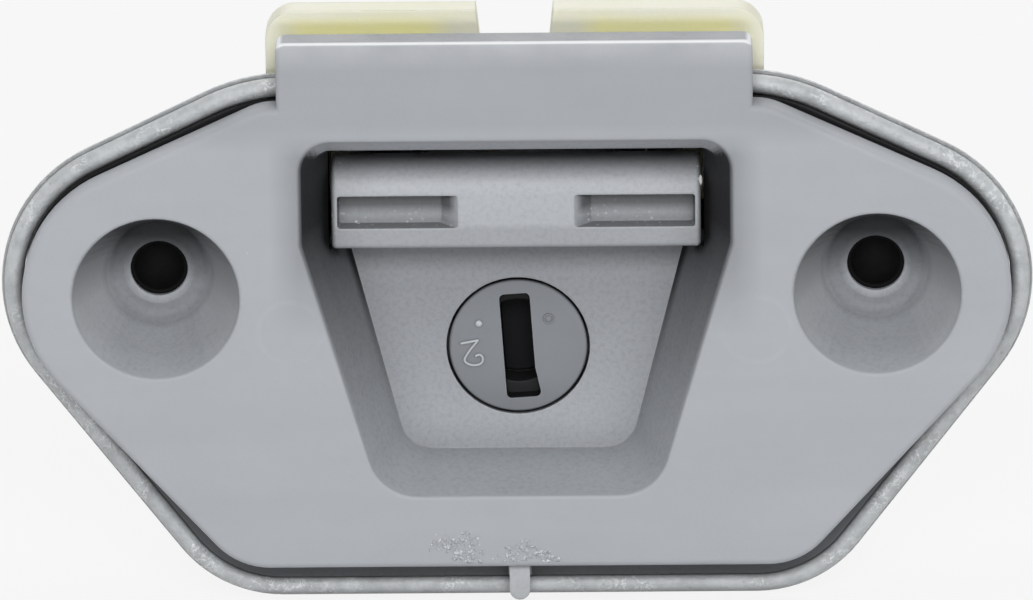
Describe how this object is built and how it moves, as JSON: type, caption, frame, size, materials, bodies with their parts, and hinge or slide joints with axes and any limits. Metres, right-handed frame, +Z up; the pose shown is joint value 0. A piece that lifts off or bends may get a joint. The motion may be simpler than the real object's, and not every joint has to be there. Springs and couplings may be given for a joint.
{
  "type": "dishwasher door latch",
  "caption": "Door latch with a grey front cover and seal, a sprung latch bar over a tapered striker pocket, a slotted key disc, and an ivory switch housing behind.",
  "frame": {"origin": "midway between the two fixing holes, on the rear faces of their cups", "axes": "+X to the right seen from the front, +Y to the rear into the door, +Z up"},
  "size_m": [0.1002, 0.0373, 0.0592],
  "materials": {
    "grey_cover": "satin light grey moulding",
    "grey_bar": "satin light grey moulding, rubbed",
    "grey_rotor": "satin grey moulding",
    "grey_lid": "satin grey moulding",
    "seal_rubber": "matt grey rubber, dusty",
    "ivory_nylon": "translucent natural nylon",
    "cam_plastic": "satin white moulding",
    "steel": "drawn steel",
    "spring_steel": "spring wire and stampings",
    "screw_steel": "zinc plated",
    "switch_black": "black moulding",
    "switch_grey": "dark grey moulding",
    "plunger_red": "red moulding",
    "terminal_brass": "tinned brass"
  },
  "bodies": {
    "housing": {"front_cover": "grey_cover", "seal_cord": "seal_rubber", "rear_housing": "ivory_nylon", "rear_lid": "grey_lid", "latch_pivot_pin": "steel", "pivot_pin_clip": "spring_steel", "latch_spring_left": "spring_steel", "latch_spring_right": "spring_steel", "rotor_return_spring": "spring_steel", "cover_screws": "screw_steel", "lid_screws": "screw_steel", "left_switch_case": "switch_black", "left_switch_cover": "switch_grey", "left_switch_terminals": "terminal_brass", "right_switch_case": "switch_black", "right_switch_cover": "switch_grey", "right_switch_terminals": "terminal_brass"},
    "latch_bar": {"latch_bar": "grey_bar"},
    "key_rotor": {"key_rotor": "grey_rotor", "rotor_cam": "cam_plastic", "rotor_clip": "spring_steel"},
    "left_plunger": {"left_switch_plunger": "plunger_red"},
    "right_plunger": {"right_switch_plunger": "plunger_red"}
  },
  "joints": [
    {"name": "latch_lift", "type": "hinge", "parent": "housing", "child": "latch_bar", "pos_m": [0, 0.012, 0.0055], "axis": [-1, 0, 0], "range_deg": [0, 12], "stiffness_Nm_per_rad": 0.23, "springref_deg": -17.19, "deforming": ["latch_spring_left", "latch_spring_right"]},
    {"name": "key_turn", "type": "hinge", "parent": "housing", "child": "key_rotor", "pos_m": [0, -0.002, -0.0081], "axis": [0, 1, 0], "range_deg": [0, 30], "stiffness_Nm_per_rad": 0.02, "springref_deg": -22.92},
    {"name": "left_plunger_press", "type": "slide", "parent": "housing", "child": "left_plunger", "axis": [-1, 0, 0], "range_m": [0, 0.0013]},
    {"name": "right_plunger_press", "type": "slide", "parent": "housing", "child": "right_plunger", "axis": [1, 0, 0], "range_m": [0, 0.0013]}
  ],
  "couplings": [
    {"joint": "left_plunger_press", "follows": "key_turn", "m_per_rad": 0.0022918},
    {"joint": "right_plunger_press", "follows": "key_turn", "m_per_rad": 0.0022918}
  ]
}
